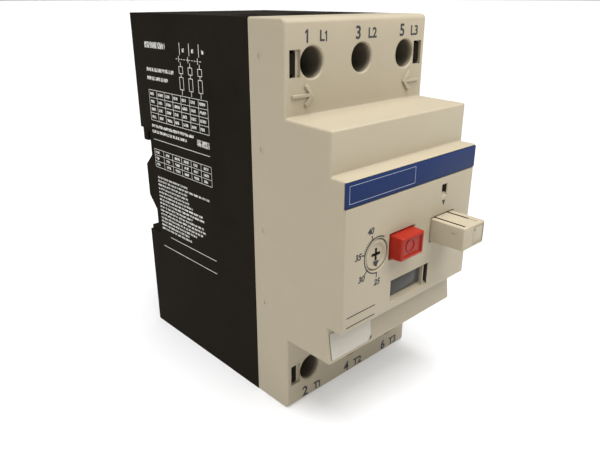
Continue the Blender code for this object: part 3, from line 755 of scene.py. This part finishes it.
rules, rows = [], []
line_half = 0.12
rules += table(spread(8.6, 44.6, 7), spread(85.7, 96.5, 4))
for row_z in spread(86.5, 94.7, 3):
    for cell in spread(9.4, 39.9, 6):
        rows.append((cell, cell + print_rows.uniform(2.2, 3.6), row_z, row_z + 1.0))
rules += table([8.8] + spread(15.0, 44.6, 5), spread(68.3, 75.1, 3))
for row_z in spread(69.0, 73.5, 2):
    for cell in [9.5] + spread(16.4, 40.1, 4):
        rows.append((cell, cell + print_rows.uniform(2.0, 3.6), row_z, row_z + 0.9))
rules += [(8.9, 44.3, 78.6, 78.8), (14.9, 44.6, 41.3, 41.5), (9.3, 44.5, 36.4, 36.6)]
rows += strokes(8.4, 21.6, 110.8, 2.0, longest=5.0)
rows += strokes(8.3, 25.9, 103.0, 1.2) + strokes(8.3, 22.4, 100.0, 1.2)
rows += strokes(8.5, 35.5, 83.2, 1.0) + strokes(8.5, 31.0, 81.1, 1.0)
rows += strokes(37.3, 44.3, 81.0, 2.2, longest=7.0)
for line in range(15):
    rows += strokes(9.3, print_rows.uniform(28, 43), 64.0 - line * 1.45, 0.72, longest=2.8)
for pole in range(3):
    depth = 30.5 + 5.4 * pole
    for z_low, z_high in ((109.6, 113.4), (96.9, 98.6), (102.6, 103.8)):
        rules.append((depth - line_half, depth + line_half, z_low, z_high))
    rules += table([depth - 1.1, depth + 1.1], [98.6, 102.6], 0.22)
    rules += table([depth - 1.1, depth + 1.1], [103.8, 106.0], 0.22)
    rules += [(depth - line_half, depth + line_half, 106.0, 107.4),
              (depth - 1.0, depth - 0.75, 107.4, 109.3)]
    rows.append((depth + 1.4, depth + 2.6, 110.6, 111.8))
for start in spread(28.0, 41.5, 9):
    rules.append((start, start + 0.8, 108.2, 108.4))
side_rules = side_print("side_rules", rules)
finish(side_rules, white_ink, "housing", "white_tag")
broken_ink = ink("broken_ink", (0.6, 0.59, 0.56))
tree = broken_ink.node_tree
place = add_node(tree, "TexCoord")
stretch = add_node(tree, "Mapping", Scale=(0, 1, 0.55))
breaks = add_node(tree, "TexNoise", Scale=2300, Detail=1)
cut = add_node(tree, "MapRange", From_Min=0.42, From_Max=0.5)
show_base = tree.nodes.new("ShaderNodeMix")
show_base.data_type = "RGBA"
show_base.inputs["A"].default_value = (0.024, 0.022, 0.02, 1)
link_nodes(tree, (place.outputs["Object"], stretch.inputs["Vector"]),
           (stretch.outputs["Vector"], breaks.inputs["Vector"]),
           (breaks.outputs["Fac"], cut.inputs["Value"]),
           (cut.outputs["Result"], show_base.inputs["Factor"]),
           (tree.nodes["Group"].outputs["Colour"], show_base.inputs["B"]),
           (show_base.outputs["Result"], tree.nodes["Principled BSDF"].inputs["Base Color"]))
side_rows = side_print("side_rows", rows)
finish(side_rows, broken_ink, "housing", "white_tag")


# ------------------------------------------------------------------ band, tag and window plate
# A blue plate lies in a shallow bed along the panel's top. A white blank tag clips on to the
# slanted foot for the user's own marking, and a dark plate closes the window from inside.

band = block("band_plate", (-30.6, 30.6), (panel - 0.35, panel + 0.04), (75.95, 82.85))
round_edges(band, 0.12, lambda middle, run: middle.y < at(0, panel, 0).y, segments=2)
blue_print = plastic("blue_print", (0.0125, 0.025, 0.085), 0.5, grain_size=1500.0, grain_depth=0.004,
                     tone_spread=0.04, specular=0.08)
finish(band, blue_print, "housing", "blue_label", "label_band")
frame_line = 0.12
x_low, x_high, z_low, z_high = 1.5 - half_width, 29.6 - half_width, 77.0, 82.0
band_frame = block("band_frame", (x_low, x_high), (panel + 0.04, panel + 0.06), (z_low, z_high))
carve(band_frame, [block("inside", (x_low + frame_line, x_high - frame_line), (panel, panel + 1),
                         (z_low + frame_line, z_high - frame_line))])
pale_ink = ink("pale_ink", (0.30, 0.33, 0.40))
finish(band_frame, pale_ink, "housing", "white_tag")

tag = side_solid("name_tag", tag_outline(0.3, 0.3), -29.65, -11.95)
corner = front_solid("corner", [(-14.2, 27.0), (-11.0, 27.0), (-11.0, 30.2)], 95, 105)
carve(tag, [corner])
round_edges(tag, 0.2, segments=2)
tag_white = plastic("tag_white", (0.45, 0.42, 0.355), 0.42, grain_size=1300.0, grain_depth=0.004)
finish(tag, tag_white, "housing", "white_tag", "marker_tag")

plate = block("window_backing", (-10.5, 10.5), (100.1, 101.6), (40.7, 50.5))
pane = block("pane", (-7.6, 6.8), (101.0, 102.5), (42.15, 47.95))
round_edges(pane, 0.15, segments=2)
join_on(plate, [pane])
grey_moulding = plastic("grey_moulding", (0.06, 0.058, 0.052), 0.2, grain_size=1300.0,
                        grain_depth=0.002, tone_spread=0.1, specular=0.12)
finish(plate, grey_moulding, "housing", "grey_plastic", "window_plate")
# Painted shade: the plate's front faces and the pane's left side are painted with the dark ink, for the
# shade round the pane.
paint_hollow(plate, dark_ink, lambda x, depth, z: depth < 101.7 or x < -7.45)


# ------------------------------------------------------------------ start button
# A long beige push cap, shown out. Its flange stops it behind the panel and its rod reaches the
# contact carrier. Two slots lie along its top, and a tab for a padlock slides out of its face.

start_x, start_z = 14.9, 59.45
start_front = 115.5
start_cap = grown("start_cap", start_x, start_z, (5.7, 3.65),
                  [(100.2, 0.15), (104, 0.13), (start_front, 0)], sides=4)
round_edges(start_cap, 0.35, segments=3)
join_on(start_cap, [block("flange", (7.8, 22.0), (99.9, 101.6), (54.2, 64.7))])
carve(start_cap, [block("tab_way", (14.2, 20.1), (101.2, 117), (56.6, 62.3)),
                  block("slot", (10.65, 11.45), (102.5, 114.4), (61.9, 64)),
                  block("slot", (17.55, 18.35), (102.5, 111.3), (61.9, 64)),
                  block("thin_slot", (17.8, 18.1), (111.0, 114.4), (62.9, 64))])


def ball(radius, segments, place):
    """A round tool that leaves a dimple."""
    deselect()
    bpy.ops.mesh.primitive_uv_sphere_add(segments=segments, ring_count=segments // 2,
                                         radius=radius * mm, location=place)
    settle()
    return bpy.context.object


carve(start_cap, [ball(0.8, 32, at(8.7, 111.6, 60.5))])
rod_steps = [(68.6, -0.3), (68.9, 0), (100.6, 0)]
join_on(start_cap, [grown("push_rod", start_x, start_z, (2.5, 2.5), rod_steps, sides=48)])
finish(start_cap, beige_moulding, "start_button", "beige_plastic", "start_button")
# Painted shade: the walls of the two slots on the cap's top are painted dark.
paint_hollow(start_cap, slot_painted_shade, lambda x, depth, z: 61.8 < z < 63.0 and (
    abs(x - 11.05) < 0.45 or abs(x - 17.95) < 0.45) and 102 < depth < 114.6)

tab = block("padlock_tab", (14.5, 19.9), (101.5, start_front - 0.1), (56.75, 62.1))
round_edges(tab, 0.12, segments=2)
carve(tab, [across_pin(1.7, 9, 40, at(17.2, 109.5, 59.5))])
carve(tab, [ball(0.42, 24, at(15.35, start_front - 0.25, 61.2))])
finish(tab, beige_moulding, "start_lock_tab", "beige_plastic", "start_lock_tab")
# Painted shade: the tab's sides are painted dark towards the front, for the shade in the gap round the tab.
edge_painted_shade = darkened("edge_painted_shade", beige_moulding, start_front - 1.2, start_front - 0.8, 0.12)
paint_hollow(tab, edge_painted_shade, lambda x, depth, z: depth < start_front - 0.4 and (x < 14.55 or x > 19.85))


# ------------------------------------------------------------------ stop button
# A red cap with rounded edges and a sunk face with a raised ring. Pressed 3 mm against its
# spring, its rod tips the latch and lets the contacts open.

stop_x, stop_z = -5.45, 59.65
stop_front = 108.0
stop_cap = grown("stop_cap", stop_x, stop_z, (5.3, 3.6),
                 [(99.3, 0.25), (104, 0.15), (stop_front, 0)], sides=4)
round_edges(stop_cap, 0.6, segments=4)
carve(stop_cap, [grown("sunk_face", stop_x, stop_z, (4.15, 2.5),
                       [(stop_front - 0.55, 0), (stop_front + 0.1, 0.25)], sides=4)])
ring_x, ring_z = -6.15, 60.0
ring = grown("ring", ring_x, ring_z, (2.1, 2.1),
             [(stop_front - 0.8, 0), (stop_front - 0.42, 0), (stop_front - 0.34, -0.1)], sides=48)
carve(ring, [grown("bore", ring_x, ring_z, (1.75, 1.75), [(stop_front - 2, 0), (stop_front + 1, 0)], 48)])
join_on(stop_cap, [ring])
join_on(stop_cap, [block("flange", (-11.05, 0.15), (99.0, 101.6), (54.6, 64.8)),
                   grown("push_rod", stop_x, stop_z, (2.0, 2.0), [(82, -0.3), (82.3, 0), (99.8, 0)], 48)])
red_moulding = plastic("red_moulding", (0.27, 0.015, 0.006), 0.34, grain_size=1500.0,
                       grain_depth=0.004, specular=0.2)
finish(stop_cap, red_moulding, "stop_button", "red_plastic", "stop_button")


# ------------------------------------------------------------------ current dial
# A small beige disc with a screwdriver cross and a printed pointer. It turns from the lowest to
# the highest current on the scale, and the cam on its shaft sets the trip bar's travel.

dial_front = panel - 0.2
pointer_face = dial_front - 0.35
dial = grown("setting_dial", dial_x, dial_z, (0, 0), [
    (80.5, 2.2), (100.0, 2.2), (100.0, 5.2), (101.6, 5.2), (101.6, 4.6), (dial_front - 0.3, 4.6),
    (dial_front, 4.3), (dial_front, 3.6), (pointer_face, 3.3)], sides=96)
for long_x, long_z in ((1.9, 0.45), (0.45, 1.9)):
    carve(dial, [grown("cross", dial_x, dial_z, (long_x, long_z),
                       [(dial_front - 1.7, 0), (dial_front + 0.5, 0.02)], sides=4)])
join_on(dial, [grown("cam", dial_x + 1.0, dial_z, (3.9, 3.9), [(78.5, 0), (81.5, 0)], sides=48)])
finish(dial, beige_moulding, "current_dial", "beige_plastic", "current_dial")
# Painted shade: the walls of the screwdriver cross are painted dark.
paint_hollow(dial, slot_painted_shade, lambda x, depth, z: dial_front - 1.8 < depth < dial_front - 0.5
             and math.hypot(x - dial_x, z - dial_z) < 2.8)
pointer = front_solid("dial_pointer", [(dial_x - 1.0, dial_z - 2.15), (dial_x, dial_z - 3.9),
                                       (dial_x + 1.0, dial_z - 2.15)],
                      pointer_face, dial_front + 0.02)
finish(pointer, dark_ink, "current_dial", "black_plastic")


# ------------------------------------------------------------------ terminal screws and cages
# Zinc-plated steel screws stand behind the round holes. Each draws a steel cage forwards, which
# presses the wire against the copper tongue inside it.


def worked_metal_group():
    """Bare or plated metal: fine drawing marks along one way, and patches of duller surface."""
    group, start, end = new_group(
        "worked_metal",
        [("Colour", "NodeSocketColor", (0.5, 0.5, 0.5, 1)), ("Gloss", "NodeSocketFloat", 0.3),
         ("Marks", "NodeSocketVector", (1, 1, 1)), ("Stain", "NodeSocketFloat", 0.2)],
        [("Colour", "NodeSocketColor"), ("Roughness", "NodeSocketFloat"), ("Height", "NodeSocketFloat")])
    place = add_node(group, "TexCoord")
    stretch = add_node(group, "VectorMath", "MULTIPLY")
    marks = add_node(group, "TexNoise", Scale=1.0, Detail=4.0)
    patches = add_node(group, "TexNoise", Scale=260.0, Detail=5.0)
    both = add_node(group, "Math", "ADD")
    rough = add_node(group, "Math", "MULTIPLY")
    stain = add_node(group, "Math", "MULTIPLY")
    dull = multiply_node(group)
    link_nodes(
        group,
        (place.outputs["Object"], stretch.inputs[0]), (start.outputs["Marks"], stretch.inputs[1]),
        (stretch.outputs["Vector"], marks.inputs["Vector"]),
        (place.outputs["Object"], patches.inputs["Vector"]),
        (marks.outputs["Fac"], both.inputs[0]), (patches.outputs["Fac"], both.inputs[1]),
        (both.outputs[0], rough.inputs[0]), (start.outputs["Gloss"], rough.inputs[1]),
        (rough.outputs[0], end.inputs["Roughness"]),
        (patches.outputs["Fac"], stain.inputs[0]), (start.outputs["Stain"], stain.inputs[1]),
        (stain.outputs[0], dull.inputs["Factor"]),
        (start.outputs["Colour"], dull.inputs["A"]), (marks.outputs["Color"], dull.inputs["B"]),
        (dull.outputs["Result"], end.inputs["Colour"]), (marks.outputs["Fac"], end.inputs["Height"]))
    return group


worked_metal = worked_metal_group()


def metal(name, colour, gloss, marks, stain=0.3):
    """A worked metal: its colour, gloss, and how closely its marks lie along X, Y and Z."""
    made = surfaced(name, worked_metal, 0.4, 0.006, Colour=(*colour, 1), Gloss=gloss, Marks=marks,
                    Stain=stain)
    set_inputs(made.node_tree.nodes["Principled BSDF"], Metallic=1.0)
    return made


zinc = metal("zinc_plate", (0.62, 0.62, 0.60), 0.34, (900, 900, 900))
screw_profile = [(58.2, 2.0), (58.8, 2.45), (69.0, 2.45), (69.0, 3.8), (72.2, 3.8), (72.75, 3.5),
                 (73.0, 2.9)]
screw_x, screw_z = terminal_places[0]
first_screw = grown("screw", screw_x, screw_z, (0, 0), screw_profile, sides=64)
for half in ((4.2, 0.5), (0.5, 2.3)):
    carve(first_screw, [grown("slot", screw_x, screw_z, half, [(71.7, -0.12), (73.5, 0.05)], sides=4)])
for number, (x, z) in enumerate(terminal_places, start=1):
    take(first_screw)
    bpy.ops.object.duplicate(linked=False)
    screw = bpy.context.object
    screw.name = f"clamp_screw_{number}"
    screw.location = ((x - screw_x) * mm, 0, (z - screw_z) * mm)
    settle()
    finish(screw, zinc, f"terminal_screw_{number}", "zinc_steel", f"terminal_screw_{number}")
bpy.data.objects.remove(first_screw, do_unlink=True)


def repaint(paint, *nodes):
    """Gives CAD nodes whose shape is right their finish."""
    for node in nodes:
        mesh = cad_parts[node].data
        mesh.materials.clear()
        mesh.materials.append(paint)


rolled_zinc = metal("rolled_zinc", (0.60, 0.60, 0.58), 0.36, (250, 2200, 250))
repaint(rolled_zinc, *[f"terminal_cage_{number}" for number in range(1, 7)])


# ------------------------------------------------------------------ springs
# Round spring steel wire, wound into open coils: one behind each button, one behind the contact
# carrier and one in the rail latch.

spring_wire = metal("spring_wire", (0.50, 0.50, 0.51), 0.28, (700, 700, 700), stain=0.2)


def coil_spring(name, start, direction, length, radius, wire, turns):
    """A helical wire from start along a unit direction; sizes in millimetres."""
    deselect()
    bpy.ops.mesh.primitive_circle_add(vertices=10, radius=wire * mm, location=(radius * mm, 0, wire * mm),
                                      rotation=(math.radians(90), 0, 0))
    coil = bpy.context.object
    coil.name = name
    settle()
    wind = coil.modifiers.new("wind", "SCREW")
    wind.steps = wind.render_steps = 28
    wind.iterations = turns
    wind.screw_offset = (length - 2 * wire) / turns * mm
    wind.use_merge_vertices = False
    bpy.ops.object.modifier_apply(modifier=wind.name)
    bpy.ops.object.mode_set(mode="EDIT")
    bpy.ops.mesh.select_all(action="DESELECT")
    bpy.ops.mesh.select_non_manifold()
    bpy.ops.mesh.fill_holes(sides=0)
    close_up()
    coil.rotation_euler = Vector(direction).to_track_quat("Z", "Y").to_euler()
    coil.location = start
    settle()
    return coil


forwards, up = (0, -1, 0), (0, 0, 1)
spring_seat, carrier_z = 85.8, 79
for name, node, joint, start, direction, length, radius, wire, turns, travel in (
        ("start_coil", "start_spring", "start_press", (start_x, spring_seat, start_z), forwards,
         13.8, 3.5, 0.35, 5, 6.0),
        ("stop_coil", "stop_spring", "stop_press", (stop_x, spring_seat, stop_z), forwards,
         12.9, 2.9, 0.3, 5, 3.0),
        ("carrier_coil", "carrier_spring", "carrier_travel", (7.1, 26.3, carrier_z), forwards,
         19.4, 1.6, 0.3, 6, 6.0),
        ("latch_coil", "rail_latch_spring", "rail_latch_pull", (0, 2.8, 15.8), up,
         13.9, 0.85, 0.22, 8, 3.0)):
    coil = coil_spring(name, at(*start), direction, length, radius, wire, turns)
    finish(coil, spring_wire, "housing", "spring_steel", node, angle=60)
    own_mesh(coil)


# ------------------------------------------------------------------ mechanism, contacts and trips
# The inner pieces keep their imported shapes. Copper strip carries the current, plated steel makes
# the frame, yokes and arc plates, grey plastic the moving bars, and bimetal strip the overload trip.

copper = metal("copper_strip", (0.78, 0.36, 0.20), 0.30, (300, 1800, 300), stain=0.45)
bimetal_finish = metal("bimetal_strip", (0.68, 0.55, 0.30), 0.33, (1800, 300, 300), stain=0.35)
grey_steel = metal("grey_steel", (0.42, 0.42, 0.42), 0.42, (500, 500, 500), stain=0.5)
repaint(rolled_zinc, "mechanism_frame", "latch_lever", "latch_pin")
repaint(grey_moulding, "trip_bar", "test_lever", "contact_carrier", "rail_latch")
for pole in range(1, 4):
    repaint(copper, f"contact_bridge_{pole}", f"line_conductor_{pole}", f"contact_conductor_{pole}",
            f"load_conductor_{pole}", f"magnet_coil_{pole}")
    repaint(grey_steel, f"arc_chute_{pole}", f"magnet_yoke_{pole}", f"magnet_plunger_{pole}")
    repaint(bimetal_finish, f"bimetal_{pole}")


# ------------------------------------------------------------------ studio
# The breaker stands on a pale, faintly glowing table in soft light: a broad lamp above, a weak one
# from the left and a small one in front. The camera is a little above it, to the left.

deselect()
bpy.ops.mesh.primitive_plane_add(size=60, location=(0, 0, 0))
floor = bpy.context.object
floor.name = "table"
table_top = bpy.data.materials.new("pale_table")
table_top.use_nodes = True
set_inputs(table_top.node_tree.nodes["Principled BSDF"], Base_Color=(0.5, 0.5, 0.5, 1),
           Emission_Color=(1, 1, 1, 1), Emission_Strength=0.28, Roughness=0.7)
floor.data.materials.append(table_top)

world = bpy.data.worlds.new("studio_air")
bpy.context.scene.world = world
world.use_nodes = True
set_inputs(world.node_tree.nodes["Background"], Color=(1, 1, 1, 1), Strength=0.3)


def lamp(name, direction, softness, strength):
    """A broad soft light that shines along a direction, spread over an angle in degrees."""
    deselect()
    bpy.ops.object.light_add(type="SUN", location=(0, 0, 1))
    light = bpy.context.object
    light.name = name
    light.data.angle = math.radians(softness)
    light.data.energy = strength
    light.rotation_euler = Vector(direction).to_track_quat("-Z", "Y").to_euler()


lamp("top_lamp", (0.08, 0.12, -1.0), 40, 4.1)
lamp("window_lamp", (0.95, 0.1, -0.45), 60, 0.9)

bpy.ops.object.light_add(type="AREA", location=(0.1, -0.19, 0.27))
front_lamp = bpy.context.object
front_lamp.name = "front_lamp"
front_lamp.data.size = 0.16
front_lamp.data.energy = 0.5
front_aim = Vector((0, -0.03, 0.08)) - front_lamp.location
front_lamp.rotation_euler = front_aim.to_track_quat("-Z", "Y").to_euler()

camera_azimuth, camera_tilt = math.radians(43.216), math.radians(21.37)
look = Vector((math.sin(camera_azimuth) * math.cos(camera_tilt),
               math.cos(camera_azimuth) * math.cos(camera_tilt), -math.sin(camera_tilt)))
bpy.ops.object.camera_add(location=(-0.135229, -0.140433, 0.126782))
camera = bpy.context.object
camera.name = "camera"
camera.data.lens = 34.86
camera.data.sensor_width = 36
camera.data.clip_start = 0.01
camera.rotation_euler = look.to_track_quat("-Z", "Y").to_euler()
bpy.context.scene.camera = camera
bpy.context.scene.view_settings.view_transform = "Standard"
